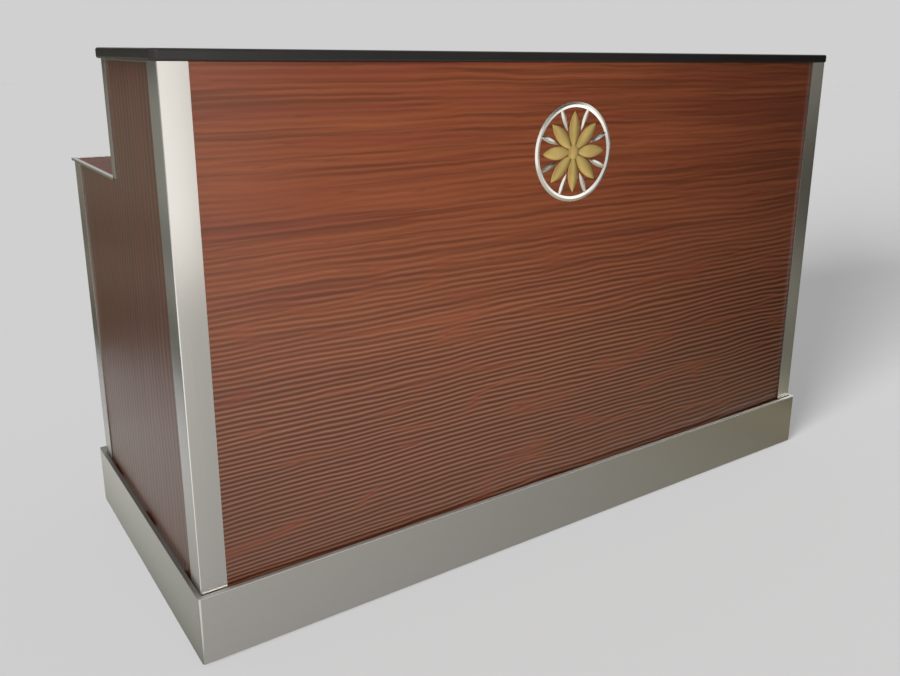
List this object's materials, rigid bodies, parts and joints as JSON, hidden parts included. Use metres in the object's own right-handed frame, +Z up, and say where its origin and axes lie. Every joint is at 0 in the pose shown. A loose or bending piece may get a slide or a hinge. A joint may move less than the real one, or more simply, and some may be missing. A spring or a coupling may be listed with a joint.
{
  "type": "portable bar",
  "caption": "Rolling bar counter with a raised guest-side top, lower worktop, ice bin, bottle rail and lockable cupboards.",
  "frame": {"origin": "middle of the footprint on the floor", "axes": "+X along the bar to the guest's right, -Y towards the guest, +Z up"},
  "size_m": [1.85, 0.806, 1.172],
  "materials": {
    "bar_top_laminate": "black laminate slab, satin gloss",
    "front_laminate": "mahogany laminate, grain along the bar, gloss",
    "side_laminate": "mahogany laminate, upright grain, gloss",
    "worktop_laminate": "mahogany laminate, satin",
    "carcass_wood": "mahogany veneered board, satin",
    "door_laminate": "mahogany laminate, upright grain",
    "satin_steel": "satin brushed stainless sheet",
    "ornament_steel": "polished stainless plate",
    "gold_brass": "polished brass plate",
    "fitting_steel": "satin nickel plated steel",
    "zinc_steel": "bright zinc plated steel",
    "wheel_core": "grey moulded polypropylene",
    "tread": "soft grey-black rubber tread",
    "black_frame": "black powder coat",
    "spacer_plastic": "black nylon block",
    "catch_plastic": "cream moulded plastic with magnets",
    "foam": "rigid foam board",
    "valve_brass": "cast and turned brass",
    "red_enamel": "red enamelled steel"
  },
  "bodies": {
    "cabinet": {"bar_top": "bar_top_laminate", "front_panel": "front_laminate", "side_panel_left": "side_laminate", "side_panel_right": "side_laminate", "corner_trim_left": "satin_steel", "corner_trim_right": "satin_steel", "rear_trims": "satin_steel", "riser_trims": "satin_steel", "side_top_strips": "satin_steel", "worktop": "worktop_laminate", "worktop_edging": "satin_steel", "worktop_board": "carcass_wood", "kick_skirt": "satin_steel", "skirt_spacers": "spacer_plastic", "ornament_silver": "ornament_steel", "ornament_gold": "gold_brass", "base_frame": "black_frame", "base_deck": "carcass_wood", "divider_left": "carcass_wood", "divider_right": "carcass_wood", "bar_top_supports": "carcass_wood", "top_brackets": "zinc_steel", "caster_plates": "zinc_steel", "caster_bolts": "zinc_steel", "hinge_frame_leaves": "fitting_steel", "lock_strikes": "zinc_steel", "door_catches": "catch_plastic", "shelves": "carcass_wood", "shelf_pins": "zinc_steel", "bin_liner": "satin_steel", "bin_rails": "satin_steel", "bin_insulation": "foam", "drain_valve": "valve_brass", "speed_rail_brackets": "zinc_steel"},
    "swivel_fl": {"caster_fork_fl": "zinc_steel"},
    "wheel_fl": {"caster_hub_fl": "wheel_core", "caster_tyre_fl": "tread"},
    "swivel_fr": {"caster_fork_fr": "zinc_steel"},
    "wheel_fr": {"caster_hub_fr": "wheel_core", "caster_tyre_fr": "tread"},
    "swivel_rl": {"caster_fork_rl": "zinc_steel"},
    "wheel_rl": {"caster_hub_rl": "wheel_core", "caster_tyre_rl": "tread"},
    "swivel_rr": {"caster_fork_rr": "zinc_steel"},
    "wheel_rr": {"caster_hub_rr": "wheel_core", "caster_tyre_rr": "tread"},
    "brake_left": {"brake_pedal_left": "red_enamel"},
    "brake_right": {"brake_pedal_right": "red_enamel"},
    "door_left": {"door_left": "door_laminate", "door_fittings_left": "fitting_steel", "hinge_leaf_left": "fitting_steel"},
    "lock_left": {"door_lock_left": "fitting_steel"},
    "door_right": {"door_right": "door_laminate", "door_fittings_right": "fitting_steel", "hinge_leaf_right": "fitting_steel"},
    "lock_right": {"door_lock_right": "fitting_steel"},
    "cover_left": {"bin_cover_left": "satin_steel"},
    "cover_right": {"bin_cover_right": "satin_steel"},
    "drain_lever": {"drain_lever": "red_enamel"},
    "speed_rail": {"speed_rail": "satin_steel"}
  },
  "joints": [
    {"name": "swivel_fl", "type": "hinge", "parent": "cabinet", "child": "swivel_fl", "pos_m": [-0.805, -0.279, 0.113], "axis": [0, 0, 1], "continuous": true},
    {"name": "wheel_fl", "type": "hinge", "parent": "swivel_fl", "child": "wheel_fl", "pos_m": [-0.805, -0.244, 0.05], "axis": [1, 0, 0], "continuous": true},
    {"name": "swivel_fr", "type": "hinge", "parent": "cabinet", "child": "swivel_fr", "pos_m": [0.805, -0.279, 0.113], "axis": [0, 0, 1], "continuous": true},
    {"name": "wheel_fr", "type": "hinge", "parent": "swivel_fr", "child": "wheel_fr", "pos_m": [0.805, -0.244, 0.05], "axis": [1, 0, 0], "continuous": true},
    {"name": "swivel_rl", "type": "hinge", "parent": "cabinet", "child": "swivel_rl", "pos_m": [-0.805, 0.283, 0.113], "axis": [0, 0, 1], "continuous": true},
    {"name": "wheel_rl", "type": "hinge", "parent": "swivel_rl", "child": "wheel_rl", "pos_m": [-0.805, 0.318, 0.05], "axis": [1, 0, 0], "continuous": true},
    {"name": "swivel_rr", "type": "hinge", "parent": "cabinet", "child": "swivel_rr", "pos_m": [0.805, 0.283, 0.113], "axis": [0, 0, 1], "continuous": true},
    {"name": "wheel_rr", "type": "hinge", "parent": "swivel_rr", "child": "wheel_rr", "pos_m": [0.805, 0.318, 0.05], "axis": [1, 0, 0], "continuous": true},
    {"name": "brake_left", "type": "hinge", "parent": "swivel_rl", "child": "brake_left", "pos_m": [-0.805, 0.345, 0.106], "axis": [-1, 0, 0], "range_deg": [0, 12]},
    {"name": "brake_right", "type": "hinge", "parent": "swivel_rr", "child": "brake_right", "pos_m": [0.805, 0.345, 0.106], "axis": [-1, 0, 0], "range_deg": [0, 12]},
    {"name": "door_left", "type": "hinge", "parent": "cabinet", "child": "door_left", "pos_m": [-0.893, 0.372, 0.532], "axis": [0, 0, 1], "range_deg": [0, 160]},
    {"name": "lock_left", "type": "hinge", "parent": "door_left", "child": "lock_left", "pos_m": [-0.346, 0.368, 0.76], "axis": [0, -1, 0], "range_deg": [0, 90]},
    {"name": "door_right", "type": "hinge", "parent": "cabinet", "child": "door_right", "pos_m": [0.893, 0.372, 0.532], "axis": [0, 0, -1], "range_deg": [0, 160]},
    {"name": "lock_right", "type": "hinge", "parent": "door_right", "child": "lock_right", "pos_m": [0.346, 0.368, 0.76], "axis": [0, 1, 0], "range_deg": [0, 90]},
    {"name": "cover_left", "type": "slide", "parent": "cabinet", "child": "cover_left", "axis": [1, 0, 0], "range_m": [0, 0.246]},
    {"name": "cover_right", "type": "slide", "parent": "cabinet", "child": "cover_right", "axis": [1, 0, 0], "range_m": [-0.246, 0]},
    {"name": "drain_lever", "type": "hinge", "parent": "cabinet", "child": "drain_lever", "pos_m": [0, 0.17, 0.6255], "axis": [0, 1, 0], "range_deg": [0, 90]},
    {"name": "speed_rail", "type": "slide", "parent": "cabinet", "child": "speed_rail", "axis": [0, 0, 1], "range_m": [0, 0.04]}
  ]
}
